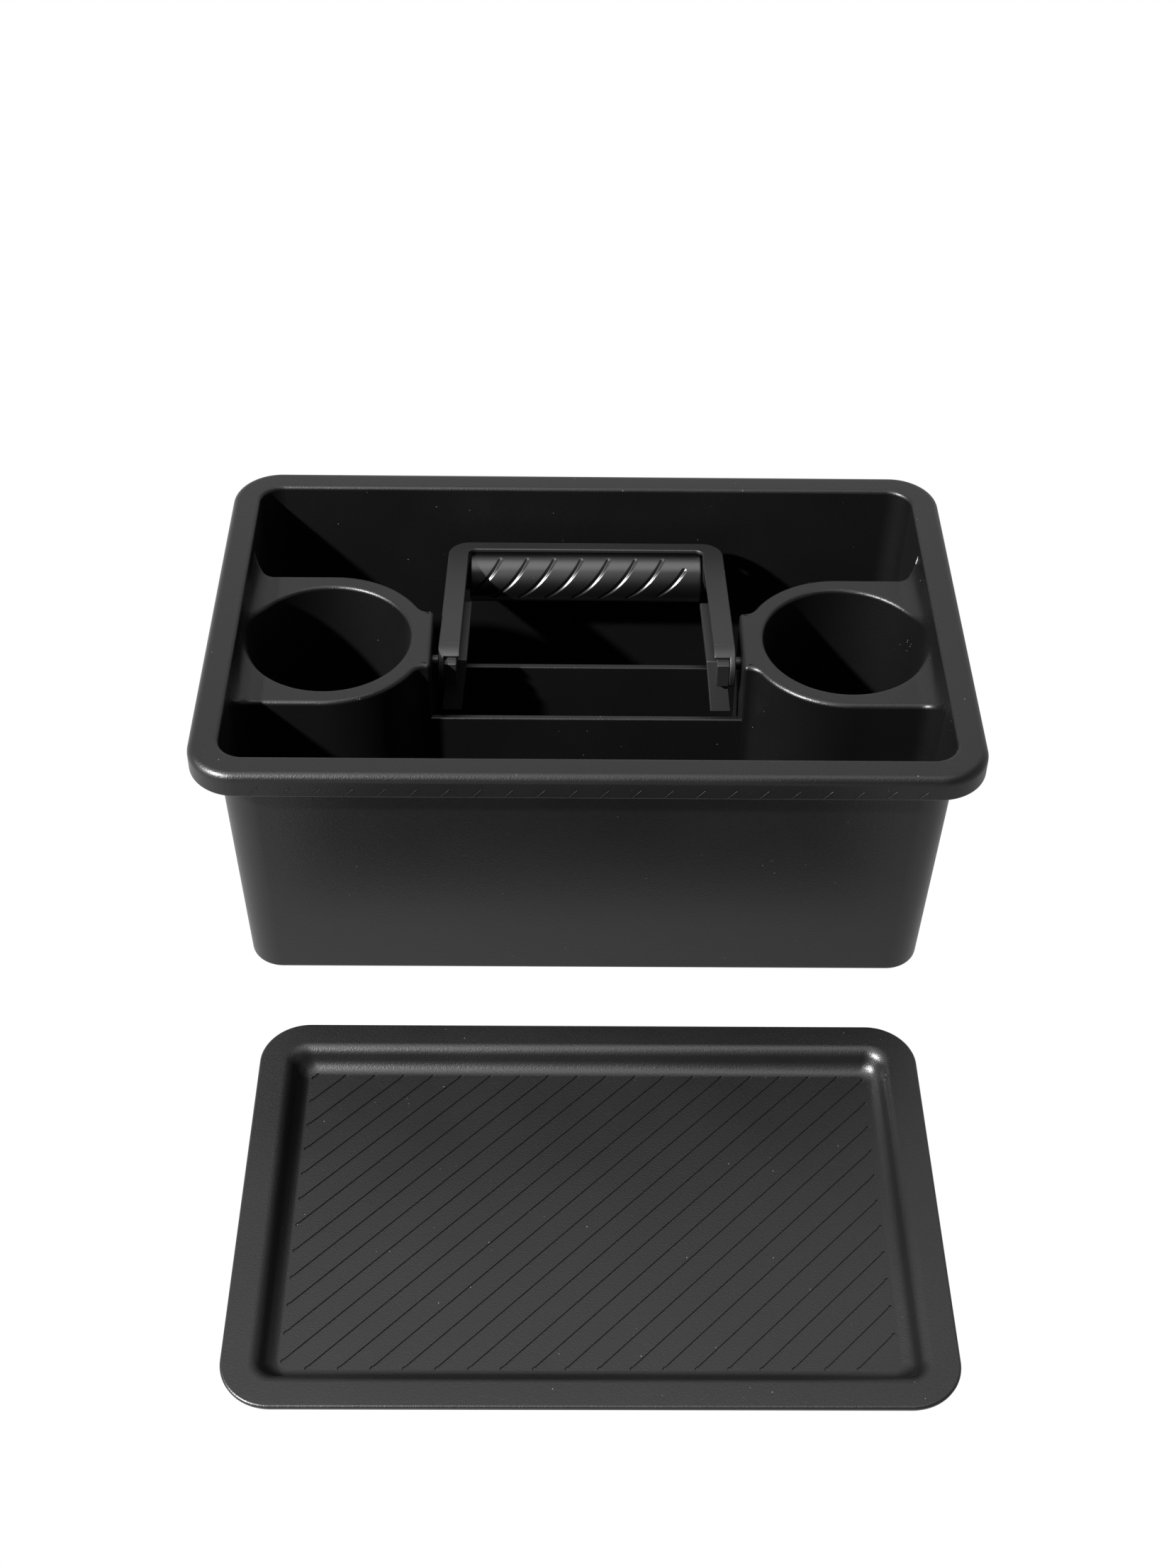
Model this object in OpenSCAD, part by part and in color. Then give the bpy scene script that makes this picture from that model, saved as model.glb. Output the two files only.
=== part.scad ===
// Tool storage caddy: an open tub with two cup towers, a folding carry handle and a lift-out tray.
// Z is up, and the origin is the centre of the tub's underside. Millimetres.

/* [Tub] */
// Length over the rim
rim_length = 400; // [360:5:460]
// Depth over the rim, front to back
rim_depth = 260; // [240:5:300]
// Height from the underside to the rim's top face
tub_height = 158; // [150:1:190]
// Corner radius of the rim, seen from above
rim_radius = 26; // [22:1:34]
// Height of the skirt that hangs from the rim
skirt_height = 14; // [8:1:20]
// Thickness of the skirt and of the rim's top plate
rim_plate = 2.6; // [2:0.2:4]
// Distance from the rim's edge in to the tub wall, just under the skirt
wall_inset = 13; // [11:0.5:15]
// Further distance that the wall leans in, from the skirt down to the base
wall_lean = 5.4; // [3:0.2:8]
// Wall thickness of the tub
wall = 2.5; // [2.1:0.2:3.5]
// Corner radius of the tub's outer wall
body_radius = 19; // [14:1:24]
// Thickness of the tub's floor
floor_plate = 2.5; // [2:0.5:5]
// Height of the plinth that the tub stands on
plinth_height = 1; // [0.6:0.2:3]
// Distance from the tub's lower edge in to the plinth
plinth_inset = 3; // [2:0.5:6]

/* [Cup towers] */
// Distance from the tub's centre to the centre of each cup
cup_offset = 139; // [137:0.5:141]
// Radius of the cup's mouth
cup_radius = 42.5; // [38:0.5:44]
// Radius of the cup at its floor
cup_foot_radius = 38.5; // [34:0.5:40]
// Wall thickness of the cups and of the towers around them
cup_wall = 2.5; // [2:0.25:3.5]
// Width of the deck that shows around each cup
ring_width = 11.8; // [9:0.2:14]
// Depth of the decks below the rim's top face
deck_drop = 17; // [15:0.5:24]
// Distance from the tub's centre to the flat inner face of each tower
tab_face = 83.4; // [80:0.2:84]
// Half the width of that flat face
tab_half = 23.6; // [20:0.2:28]
// Radius of the hollow corner between the flat face and the round tower
tab_blend = 8; // [4:1:12]
// Distance from the tub's end in to the hollow under each tower
tower_heel = 21.5; // [21.5:0.5:27]

/* [Centre pocket] */
// Half the inside width of the pocket between the towers
pocket_half = 20; // [19:0.5:22]
// Thickness of the pocket's front and back walls
pocket_wall = 3.5; // [2.5:0.5:5]
// Depth of those walls' top edges below the decks
pocket_drop = 37; // [36:0.5:39]

/* [Pivots] */
// Height of the handle's pivot below the decks
pivot_drop = 16.3; // [16:0.1:16.6]
// Radius of each pivot pin
pin_radius = 3.6; // [3:0.1:4]
// Length of each pin inside its tower
pin_seat = 8; // [6:0.5:12]
// Length of each pin inside the handle's hub
pin_reach = 5.5; // [4:0.5:6]
// Radius of the boss that holds the pin inside the tower
boss_radius = 8; // [6.5:0.5:10]
// Radial clearance of the pins in the towers
seat_clearance = 0.03; // [0.01:0.01:0.05]
// Radial clearance of the handle on the pins
pivot_clearance = 0.06; // [0.03:0.01:0.1]
// Clearance at the end of each pin inside its hub
pin_end_clearance = 0.5; // [0.3:0.1:1]

/* [Handle] */
// Gap between each tower and the handle's leg
leg_gap = 3.4; // [2:0.1:4]
// Gap between the folded handle's crossbar and the top of the tub's back wall
back_gap = 13.6; // [11:0.1:20]
// Distance that each leg leans inwards over the reach
leg_lean = 1.9; // [0:0.1:5]
// Width of the legs, seen from above
leg_width = 11.6; // [10:0.1:14]
// Width of the crossbar, seen from above
crossbar_width = 7.4; // [6:0.2:10]
// Outer corner radius of the handle
handle_corner = 12; // [9:0.5:16]
// Height of the handle's top face above the pivot
handle_rise = 12; // [11:0.1:13]
// Thickness of the handle's top plate
top_plate = 2.3; // [1.8:0.1:3]
// Thickness of the leg's outer side wall
side_wall = 3.2; // [2.4:0.1:3.6]
// Step in from the edge of the leg's top plate to its side wall
side_step = 0.1; // [0.05:0.05:0.3]
// Depth of the leg's outer side wall below the pivot
side_depth = 13; // [11:0.5:16]
// Distance that the top plate reaches past the pivot
nose = 3; // [1:0.2:4]
// Tilt of the folded handle, its grip end down
rest_tilt = 3.8; // [0:0.2:6]
// Radius of the hub around each pivot, inside the leg
hub_radius = 11.6; // [9:0.2:11.8]
// Length of each hub along the pivot
hub_width = 6.8; // [6:0.2:8]
// Gap between each hub and the leg's side wall and top plate
hub_gap = 0.05; // [0.03:0.01:0.1]

/* [Grip] */
// Radius of the grip sleeve
grip_radius = 14.4; // [12:0.2:15]
// Length of the grip sleeve
grip_length = 132.6; // [120:0.2:134]
// Distance from the back edge of the crossbar to the middle of the grip
grip_inset = 8.2; // [8:0.2:12]
// Gap between the grip and the crossbar above it
grip_gap = 1.1; // [0.5:0.1:1.6]
// Radius of the rod inside the grip
rod_radius = 5; // [4:0.5:7]
// Radial clearance of the rod in the grip and in its bosses
rod_clearance = 0.03; // [0.01:0.01:0.1]
// Radius of the boss at each end of the rod
rod_boss_radius = 8; // [7:0.25:8.25]
// Gap between each end of the grip and its boss
grip_end_gap = 0.4; // [0.3:0.1:1]
// Length of the rod inside each boss
rod_seat = 5; // [3:0.5:7]

/* [Arms] */
// Reach from the pivot to the back end of each arm
arm_reach = 54; // [44:1:56]
// Width of each arm
arm_width = 10.4; // [8:0.2:11]
// Thickness of each arm
arm_thickness = 3.2; // [2.4:0.2:4]
// Height of each arm's top face above the pivot
arm_level = 2.8; // [2:0.1:4]
// Distance that each arm stands proud of its leg's inner edge
arm_proud = 3.5; // [3:0.1:5]
// Length of the tongue from the pivot to its tip
tongue_length = 26.5; // [22:0.5:27]
// Angle of the tongue below the arm
tongue_angle = 72; // [64:1:80]

/* [Tray] */
// Length of the tray over its flange
tray_length = 338; // [310:2:360]
// Depth of the tray over its flange, front to back
tray_depth = 226; // [200:2:226]
// Height of the tray
tray_height = 13; // [11:0.5:18]
// Corner radius of the flange
tray_radius = 24.5; // [20:0.5:30]
// Width of the flange
flange_width = 16.5; // [14:0.5:20]
// Width of the sloping side inside the tray, seen from above
slope_width = 12; // [8:0.5:14]
// Corner radius at the top of the recess
recess_radius = 11; // [9:0.5:16]
// Thickness of the tray's plastic
tray_wall = 2.4; // [1.8:0.2:3]
// Depth of the lip that hangs from the flange's edge
lip_depth = 2.4; // [1.5:0.1:5]
// Distance from the flange's edge in to the lip
lip_inset = 1.5; // [1:0.1:3]
// Gap on the table between the tub's rim and the tray
tray_gap = 32.5; // [5:0.5:60]
// Sideways place of the tray on the table
tray_shift = 1.5; // [-10:0.5:10]

/* [Hidden] */
$fn = 96;
// Fewer sides for the round corners inside a hull
HULL_SIDES = 32;
// Small overlap of cuts and joined blocks
EPS = 0.5;
// Overlap of the hollow corners with the round towers, so that their outlines cross
BLEND_BITE = 0.02;

base_inset = wall_inset + wall_lean;
skirt_low = tub_height - skirt_height;
floor_top = plinth_height + floor_plate;
deck_z = tub_height - deck_drop;
ring_radius = cup_radius + ring_width;
pocket_z = deck_z - pocket_drop;
pivot_z = deck_z - pivot_drop;
handle_reach = rim_depth / 2 - wall_inset - wall - back_gap;
grip_reach = handle_reach - grip_inset;
leg_face = tab_face - leg_gap;
plate_low = handle_rise - top_plate;
arm_outer = leg_face - leg_width - arm_proud + arm_width;
hub_outer = leg_face - side_wall - hub_gap;
pin_inner = hub_outer - pin_reach;
grip_drop = grip_radius + grip_gap - plate_low;
lean_angle = atan(leg_lean / handle_reach);
tray_y = -rim_depth / 2 - tray_gap - tray_depth / 2;

// Flat rectangle with round corners, centred on the origin.
module round_rect(length, depth, radius) {
    square([length - 2 * radius, depth], center = true);
    square([length, depth - 2 * radius], center = true);
    for (x = [-1, 1], y = [-1, 1])
        translate([x * (length / 2 - radius), y * (depth / 2 - radius)]) circle(r = radius);
}

// Thin slab with round corners, used as one end of a hull.
module slab(length, depth, radius, z, height) {
    for (x = [-1, 1], y = [-1, 1])
        translate([x * (length / 2 - radius), y * (depth / 2 - radius), z])
            cylinder(r = radius, h = height, $fn = HULL_SIDES);
}

// Leaning block between a low and a high rounded rectangle.
module leaning_block(low, high) {
    hull() {
        slab(low[0], low[1], low[2], low[3], 0.1);
        slab(high[0], high[1], high[2], high[3] - 0.1, 0.1);
    }
}

// Runs its children at the left tower and, mirrored, at the right one.
module both_ends() {
    children();
    mirror([1, 0, 0]) children();
}

// Hollow corner between the round tower and the flat tab, for a tower drawn at the origin.
module tab_corner(radius, half) {
    blend_x = sqrt(pow(radius + tab_blend - BLEND_BITE, 2) - pow(half + tab_blend, 2));
    difference() {
        polygon([[0, 0], [blend_x, half + tab_blend], [blend_x, 0]]);
        translate([blend_x, half + tab_blend]) circle(r = tab_blend);
    }
}

// Outline of the left tower, drawn smaller by inset and ending at heel.
module tower_outline(inset, heel) {
    radius = ring_radius - inset;
    half = tab_half - inset;
    intersection() {
        translate([-cup_offset, 0]) {
            circle(r = radius);
            translate([0, -half]) square([cup_offset - tab_face - inset, 2 * half]);
            for (side = [0, 1]) mirror([0, side]) tab_corner(radius, half);
            translate([cup_offset - heel, -radius]) square([heel - cup_offset, 2 * radius]);
        }
        translate([-heel, -radius]) square([heel, 2 * radius]);
    }
}

// Outer cone of one cup, or its hollow where wall_out is 0.
module cup_cone(wall_out, low, high) {
    translate([-cup_offset, 0, low])
        cylinder(r1 = cup_foot_radius + wall_out, r2 = cup_radius + wall_out, h = high - low);
}

// Pin hole of one tower, from its flat face inwards.
module pin_hole(radius, inner, outer) {
    translate([-outer, 0, pivot_z]) rotate([0, 90, 0]) cylinder(r = radius, h = outer - inner);
}

module outer_wall(top_z) {
    leaning_block([rim_length - 2 * base_inset, rim_depth - 2 * base_inset, body_radius - 1, plinth_height],
                  [rim_length - 2 * wall_inset, rim_depth - 2 * wall_inset, body_radius, top_z]);
}

module tub_hollow() {
    in_low = base_inset + wall;
    in_high = wall_inset + wall;
    leaning_block([rim_length - 2 * in_low, rim_depth - 2 * in_low, body_radius - wall - 4, floor_top],
                  [rim_length - 2 * in_high, rim_depth - 2 * in_high, body_radius - wall - 3,
                   tub_height + EPS]);
}

module rim() {
    translate([0, 0, tub_height - rim_plate]) linear_extrude(rim_plate)
        round_rect(rim_length, rim_depth, rim_radius);
    translate([0, 0, skirt_low]) linear_extrude(skirt_height) difference() {
        round_rect(rim_length, rim_depth, rim_radius);
        round_rect(rim_length - 2 * rim_plate, rim_depth - 2 * rim_plate, rim_radius - rim_plate);
    }
}

module plinth() {
    plinth_in = base_inset + plinth_inset;
    linear_extrude(plinth_height + EPS)
        round_rect(rim_length - 2 * plinth_in, rim_depth - 2 * plinth_in, body_radius - plinth_inset);
}

// Both towers as solid blocks that end halfway into the tub's wall.
module tower_blocks() {
    in_low = base_inset + wall / 2;
    in_high = wall_inset + wall / 2;
    intersection() {
        both_ends() translate([0, 0, plinth_height + 1]) linear_extrude(deck_z - plinth_height - 1)
            tower_outline(0, rim_length / 2);
        leaning_block([rim_length - 2 * in_low, rim_depth, body_radius, plinth_height],
                      [rim_length - 2 * in_high, rim_depth, body_radius, tub_height]);
    }
}

// Hollow under one tower, around its cup and its pin boss.
module tower_hollow() {
    difference() {
        translate([0, 0, -EPS]) linear_extrude(deck_z - cup_wall + EPS)
            tower_outline(cup_wall, rim_length / 2 - tower_heel);
        cup_cone(cup_wall, -EPS, deck_z);
        pin_hole(boss_radius, tab_face, tab_face + pin_seat + cup_wall);
    }
}

module pocket_walls() {
    for (side = [-1, 1])
        translate([-tab_face - cup_wall / 2, side * (pocket_half + pocket_wall / 2) - pocket_wall / 2,
                   plinth_height + 1])
            cube([2 * tab_face + cup_wall, pocket_wall, pocket_z - plinth_height - 1]);
}

module tub() {
    color("#26272a") difference() {
        union() {
            difference() {
                union() {
                    outer_wall(tub_height);
                    rim();
                }
                tub_hollow();
            }
            plinth();
            tower_blocks();
            pocket_walls();
        }
        both_ends() {
            tower_hollow();
            cup_cone(0, floor_top, deck_z + 0.01);
            pin_hole(pin_radius + seat_clearance, tab_face - EPS, tab_face + pin_seat);
        }
    }
}

module pivot_pin() {
    color("#3a3b3e") pin_hole(pin_radius, pin_inner, tab_face + pin_seat);
}

module left_pivot_pin() {
    pivot_pin();
}

module right_pivot_pin() {
    mirror([1, 0, 0]) pivot_pin();
}

// Outline of the handle's top plate, with legs that lean in towards the crossbar.
module handle_outline() {
    lean = leg_lean / handle_reach;
    corner_x = leg_face - leg_lean - handle_corner;
    difference() {
        union() {
            polygon([[-leg_face - lean * nose, -nose], [leg_face + lean * nose, -nose],
                     [leg_face - lean * (handle_reach - handle_corner), handle_reach - handle_corner],
                     [-leg_face + lean * (handle_reach - handle_corner), handle_reach - handle_corner]]);
            for (x = [-corner_x, corner_x])
                translate([x, handle_reach - handle_corner]) circle(r = handle_corner);
            translate([-corner_x, handle_reach - 2 * handle_corner]) square([2 * corner_x, 2 * handle_corner]);
        }
        inner_end = handle_reach - crossbar_width;
        inner_x = leg_face - leg_width;
        polygon([[-inner_x - lean * EPS, -nose - EPS], [inner_x + lean * EPS, -nose - EPS],
                 [inner_x - lean * inner_end, inner_end], [-inner_x + lean * inner_end, inner_end]]);
    }
}

// Left leg's outer side wall, with a round end around the pivot.
module leg_side() {
    side_top = handle_rise - side_step;
    side_radius = (side_depth + side_top) / 2;
    translate([-leg_face, 0, pivot_z]) rotate([0, 0, -lean_angle]) translate([side_step, 0, 0]) {
        translate([0, 0, -side_depth])
            cube([side_wall - side_step, handle_reach - handle_corner, side_depth + plate_low + EPS]);
        translate([0, 0, side_top - side_radius]) rotate([0, 90, 0])
            cylinder(r = side_radius, h = side_wall - side_step);
    }
}

// Boss that holds the left end of the grip's rod, with the web that joins it to the leg.
module rod_boss() {
    boss_in = grip_length / 2 + grip_end_gap;
    boss_out = leg_face - leg_lean - 0.2;
    translate([-boss_out, grip_reach, pivot_z - grip_drop]) rotate([0, 90, 0])
        cylinder(r = rod_boss_radius, h = boss_out - boss_in);
    translate([-boss_out, grip_reach - rod_boss_radius, pivot_z - grip_drop])
        cube([boss_out - boss_in, rod_boss_radius + handle_reach - handle_corner - grip_reach,
              grip_drop + plate_low + EPS]);
}

// Turns its children about the pivots, from level to the place where the folded handle rests.
module folded() {
    translate([0, 0, pivot_z]) rotate([-rest_tilt, 0, 0]) translate([0, 0, -pivot_z]) children();
}

module handle_frame() {
    color("#303134") folded() difference() {
        union() {
            translate([0, 0, pivot_z + plate_low]) linear_extrude(top_plate) handle_outline();
            both_ends() {
                leg_side();
                rod_boss();
            }
        }
        both_ends() {
            pin_hole(pin_radius + pivot_clearance, pin_inner - EPS, tab_face);
            rod_shape(rod_radius + rod_clearance, grip_length / 2 + grip_end_gap + rod_seat);
        }
    }
}

// Solid along the grip's axis, symmetric about the tub's middle.
module rod_shape(radius, half) {
    translate([-half, grip_reach, pivot_z - grip_drop]) rotate([0, 90, 0])
        cylinder(r = radius, h = 2 * half);
}

module grip_rod() {
    color("#55565a") folded() rod_shape(rod_radius, grip_length / 2 + grip_end_gap + rod_seat);
}

module grip_sleeve() {
    color("#2b2c2f") folded() difference() {
        rod_shape(grip_radius, grip_length / 2);
        rod_shape(rod_radius + rod_clearance, grip_length / 2 + EPS);
    }
}

// Side view of the hub, with the rib that seats the arm under the leg's top plate.
module hub_outline(arm_low) {
    high = plate_low - hub_gap;
    intersection() {
        union() {
            circle(r = hub_radius);
            translate([0, arm_low + 0.6]) square([arm_reach - 1, high - arm_low]);
        }
        translate([-2 * hub_radius, -2 * hub_radius])
            square([2 * hub_radius + arm_reach + EPS, 2 * hub_radius + high]);
    }
}

// Left arm: a flat bar in the leg, bent down past the pivot into a tongue, with the pivot's hub.
module arm() {
    arm_low = arm_level - arm_thickness;
    tip = [-tongue_length * cos(tongue_angle), arm_low - tongue_length * sin(tongue_angle)];
    color("#303134") folded() difference() {
        translate([-arm_outer, 0, pivot_z]) rotate([0, 0, -lean_angle]) rotate([90, 0, 90]) {
            linear_extrude(arm_width)
                polygon([[arm_reach, arm_low], [arm_reach, arm_level],
                         [-arm_thickness * tan(tongue_angle / 2), arm_level],
                         tip + arm_thickness * [-sin(tongue_angle), cos(tongue_angle)], tip, [0, arm_low]]);
            translate([0, 0, arm_outer - hub_outer]) linear_extrude(hub_width) hub_outline(arm_low);
        }
        pin_hole(pin_radius + pivot_clearance, pin_inner - pin_end_clearance, hub_outer + EPS);
    }
}

module left_arm() {
    arm();
}

module right_arm() {
    mirror([1, 0, 0]) arm();
}

module tray() {
    recess_l = tray_length - 2 * flange_width;
    recess_d = tray_depth - 2 * flange_width;
    color("#2b2c2f") translate([tray_shift, tray_y, 0]) difference() {
        union() {
            translate([0, 0, tray_height - tray_wall]) linear_extrude(tray_wall)
                round_rect(tray_length, tray_depth, tray_radius);
            translate([0, 0, tray_height - tray_wall - lip_depth]) linear_extrude(lip_depth + EPS)
                difference() {
                    round_rect(tray_length - 2 * lip_inset, tray_depth - 2 * lip_inset,
                               tray_radius - lip_inset);
                    round_rect(tray_length - 2 * (lip_inset + tray_wall),
                               tray_depth - 2 * (lip_inset + tray_wall),
                               tray_radius - lip_inset - tray_wall);
                }
            leaning_block([recess_l - 2 * slope_width + 2 * tray_wall, recess_d - 2 * slope_width + 2 * tray_wall,
                           recess_radius, 0],
                          [recess_l + 2 * tray_wall, recess_d + 2 * tray_wall, recess_radius + tray_wall,
                           tray_height - EPS]);
        }
        leaning_block([recess_l - 2 * slope_width, recess_d - 2 * slope_width, recess_radius - tray_wall,
                       tray_wall],
                      [recess_l, recess_d, recess_radius, tray_height + 0.01]);
    }
}

tub();
left_pivot_pin();
right_pivot_pin();
handle_frame();
left_arm();
right_arm();
grip_rod();
grip_sleeve();
tray();
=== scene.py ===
"""Dresses the tool storage caddy: its tub, folding handle, grip and lift-out tray.

Sizes are in metres and angles in degrees, unless a class says otherwise.
"""

import logging
import math
from dataclasses import dataclass, field
from enum import Enum
from typing import Callable, Sequence

import bmesh
import bpy
import numpy as np
from mathutils import Matrix, Vector


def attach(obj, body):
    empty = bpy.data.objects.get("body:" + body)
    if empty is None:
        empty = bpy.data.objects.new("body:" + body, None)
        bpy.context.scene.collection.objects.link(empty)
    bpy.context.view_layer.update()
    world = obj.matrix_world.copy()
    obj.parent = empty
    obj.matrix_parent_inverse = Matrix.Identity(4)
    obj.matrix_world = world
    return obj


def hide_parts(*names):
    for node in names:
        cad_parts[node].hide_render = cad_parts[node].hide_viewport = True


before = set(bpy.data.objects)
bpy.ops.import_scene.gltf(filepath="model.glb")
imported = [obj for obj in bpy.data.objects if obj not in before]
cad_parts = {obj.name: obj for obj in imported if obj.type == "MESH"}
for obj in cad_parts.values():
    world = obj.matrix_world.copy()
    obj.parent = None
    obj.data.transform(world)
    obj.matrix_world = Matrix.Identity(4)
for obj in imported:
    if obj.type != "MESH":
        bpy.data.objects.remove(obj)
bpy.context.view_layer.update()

LOG = logging.getLogger("caddy")
MM = 0.001
CORNER_STEPS = 10
Point = tuple[float, float]
Place = Callable[[int], Vector]


class Side(Enum):
    """The end of the caddy that a piece belongs to; the value is the sign of its X."""

    LEFT = -1
    RIGHT = 1


class Body(Enum):
    """The moving bodies that pieces ride on."""

    CADDY = "caddy"
    HANDLE = "handle"
    TRAY = "tray"


YZ_TO_WORLD = Matrix(((0, 0, 1, 0), (1, 0, 0, 0), (0, 1, 0, 0), (0, 0, 0, 1)))
MIRROR_X = Matrix.Scale(-1.0, 4, (1, 0, 0))


# ---------------------------------------------------------------- finishes


class NodeTable:
    """Adds shader nodes to one material or surround and links them."""

    def __init__(self, owner: bpy.types.Material | bpy.types.World) -> None:
        """Starts with an empty node tree.

        Args:
            owner: The material or surround that the nodes are for.
        """
        owner.use_nodes = True
        self.tree = owner.node_tree
        self.tree.nodes.clear()

    def add(self, kind: str, **values: object) -> bpy.types.Node:
        """Adds a node and sets its properties and inputs.

        Args:
            kind: Blender's name of the node type.
            values: Properties of the node, or inputs by name with _ for spaces.

        Returns:
            The new node.
        """
        node = self.tree.nodes.new(kind)
        for key, value in values.items():
            label = key.replace("_", " ")
            if label in node.inputs:
                node.inputs[label].default_value = value
            else:
                setattr(node, key, value)
        return node

    def link(self, source: bpy.types.NodeSocket, target: bpy.types.NodeSocket) -> None:
        """Joins an output to an input."""
        self.tree.links.new(source, target)

    def scaled(self, source: bpy.types.NodeSocket, given: Point, span: Point,
               smooth: bool = False) -> bpy.types.NodeSocket:
        """Maps a value from one range to another.

        Args:
            source: The value to map.
            given: The values that give the start and end of the span.
            span: The start and end of the result.
            smooth: True to ease in and out of the span.

        Returns:
            The mapped value's socket.
        """
        node = self.add("ShaderNodeMapRange", From_Min=given[0], From_Max=given[1], To_Min=span[0], To_Max=span[1],
                        interpolation_type="SMOOTHSTEP" if smooth else "LINEAR")
        self.link(source, node.inputs["Value"])
        return node.outputs["Result"]

    def maths(self, operation: str, *values: bpy.types.NodeSocket | float) -> bpy.types.NodeSocket:
        """Works out one value from others.

        Args:
            operation: Blender's name of the operation.
            values: Its sockets and numbers, in order.

        Returns:
            The result's socket.
        """
        node = self.add("ShaderNodeMath", operation=operation)
        for target, value in zip(node.inputs, values):
            if isinstance(value, bpy.types.NodeSocket):
                self.link(value, target)
            else:
                target.default_value = value
        return node.outputs["Value"]


@dataclass(frozen=True)
class MouldedPlastic:
    """Black moulded plastic with a fine grain, faint clouds in its tone and specks of dust."""

    name: str
    shade: float
    roughness: float
    grain_scale: float = 1200.0
    grain_depth: float = 0.14 * MM
    cloud_scale: float = 14.0
    cloud_reach: Point = (0.3, 0.7)
    cloud_share: float = 0.12
    cloud_gloss: float = 0.03
    speck_scale: float = 210.0
    speck_edge: Point = (0.035, 0.06)
    patch_scale: float = 75.0
    patch_edge: Point = (0.60, 0.66)
    dust: float = 0.35
    dust_shade: float = 0.35
    refraction: float = 1.48

    def make(self) -> bpy.types.Material:
        """Builds the material.

        Returns:
            The new material.
        """
        material = bpy.data.materials.new(self.name)
        table = NodeTable(material)
        place = table.add("ShaderNodeTexCoord").outputs["Object"]
        grain = table.add("ShaderNodeTexNoise", Scale=self.grain_scale, Detail=3.0, Roughness=0.6)
        cloud = table.add("ShaderNodeTexNoise", Scale=self.cloud_scale, Detail=5.0, Roughness=0.55)
        speck = table.add("ShaderNodeTexVoronoi", Scale=self.speck_scale, Randomness=1.0)
        patch = table.add("ShaderNodeTexNoise", Scale=self.patch_scale, Detail=1.0)
        for node in (grain, cloud, speck, patch):
            table.link(place, node.inputs["Vector"])
        tones = (self.shade * (1 - self.cloud_share), self.shade * (1 + self.cloud_share))
        tone = table.scaled(cloud.outputs["Fac"], self.cloud_reach, tones)
        small = table.scaled(speck.outputs["Distance"], self.speck_edge, (1.0, 0.0))
        rare = table.scaled(patch.outputs["Fac"], self.patch_edge, (0.0, self.dust))
        dusted = table.maths("MULTIPLY_ADD", table.maths("MULTIPLY", small, rare), self.dust_shade, tone)
        colour = table.add("ShaderNodeCombineColor")
        for channel in ("Red", "Green", "Blue"):
            table.link(dusted, colour.inputs[channel])
        glosses = (self.roughness + self.cloud_gloss, self.roughness - self.cloud_gloss)
        rough = table.scaled(cloud.outputs["Fac"], self.cloud_reach, glosses)
        bump = table.add("ShaderNodeBump", Strength=1.0, Distance=self.grain_depth)
        table.link(grain.outputs["Fac"], bump.inputs["Height"])
        shader = table.add("ShaderNodeBsdfPrincipled", IOR=self.refraction)
        table.link(colour.outputs["Color"], shader.inputs["Base Color"])
        table.link(rough, shader.inputs["Roughness"])
        table.link(bump.outputs["Normal"], shader.inputs["Normal"])
        out = table.add("ShaderNodeOutputMaterial")
        table.link(shader.outputs["BSDF"], out.inputs["Surface"])
        return material


TUB_MATT = MouldedPlastic("tub plastic", 0.0008, 0.39, refraction=1.42)
TRAY_MATT = MouldedPlastic("tray plastic", 0.0012, 0.40)
HANDLE_SATIN = MouldedPlastic("handle plastic", 0.0010, 0.53, grain_depth=0.08 * MM)
GRIP_GLOSS = MouldedPlastic("grip plastic", 0.0006, 0.34, grain_depth=0.03 * MM, dust=0.2, refraction=1.60)
PIN_SMOOTH = MouldedPlastic("pin plastic", 0.0030, 0.34, grain_depth=0.01 * MM, dust=0.1)


# ---------------------------------------------------------------- making meshes


def arc(centre: Point, radius: float, first: float, last: float, steps: int) -> list[Point]:
    """Points along a circular arc.

    Args:
        centre: Centre of the arc.
        radius: Radius of the arc.
        first: Angle of the first point, in degrees.
        last: Angle of the last point, in degrees.
        steps: Number of equal steps between them.

    Returns:
        The points, the two ends included.
    """
    angles = [math.radians(first + (last - first) * k / steps) for k in range(steps + 1)]
    return [(centre[0] + radius * math.cos(a), centre[1] + radius * math.sin(a)) for a in angles]


class RingLoft:
    """A skin made by extruding a closed ring of edges step by step."""

    def __init__(self, count: int, place: Place) -> None:
        """Starts the skin.

        Args:
            count: Number of points in each ring.
            place: Gives the place of each point of the first ring.
        """
        self.bm = bmesh.new()
        bmesh.ops.create_circle(self.bm, cap_ends=False, segments=count, radius=1.0)
        self.bm.verts.ensure_lookup_table()
        self.ring = list(self.bm.verts)
        for index, vert in enumerate(self.ring):
            vert.co = place(index)

    def edges(self) -> list[bmesh.types.BMEdge]:
        """The edges of the last ring."""
        return [self.bm.edges.get((self.ring[k - 1], self.ring[k])) for k in range(len(self.ring))]

    def add(self, place: Place) -> None:
        """Extrudes the last ring to a new place.

        Args:
            place: Gives the place of each point of the new ring.
        """
        made = bmesh.ops.extrude_edge_only(self.bm, edges=self.edges())["geom"]
        fresh = {item for item in made if isinstance(item, bmesh.types.BMVert)}
        following = []
        for index, vert in enumerate(self.ring):
            twin = next(e.other_vert(vert) for e in vert.link_edges if e.other_vert(vert) in fresh)
            twin.co = place(index)
            following.append(twin)
        self.ring = following

    def close(self) -> None:
        """Fills the last ring with one face."""
        bmesh.ops.edgeloop_fill(self.bm, edges=self.edges())


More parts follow.
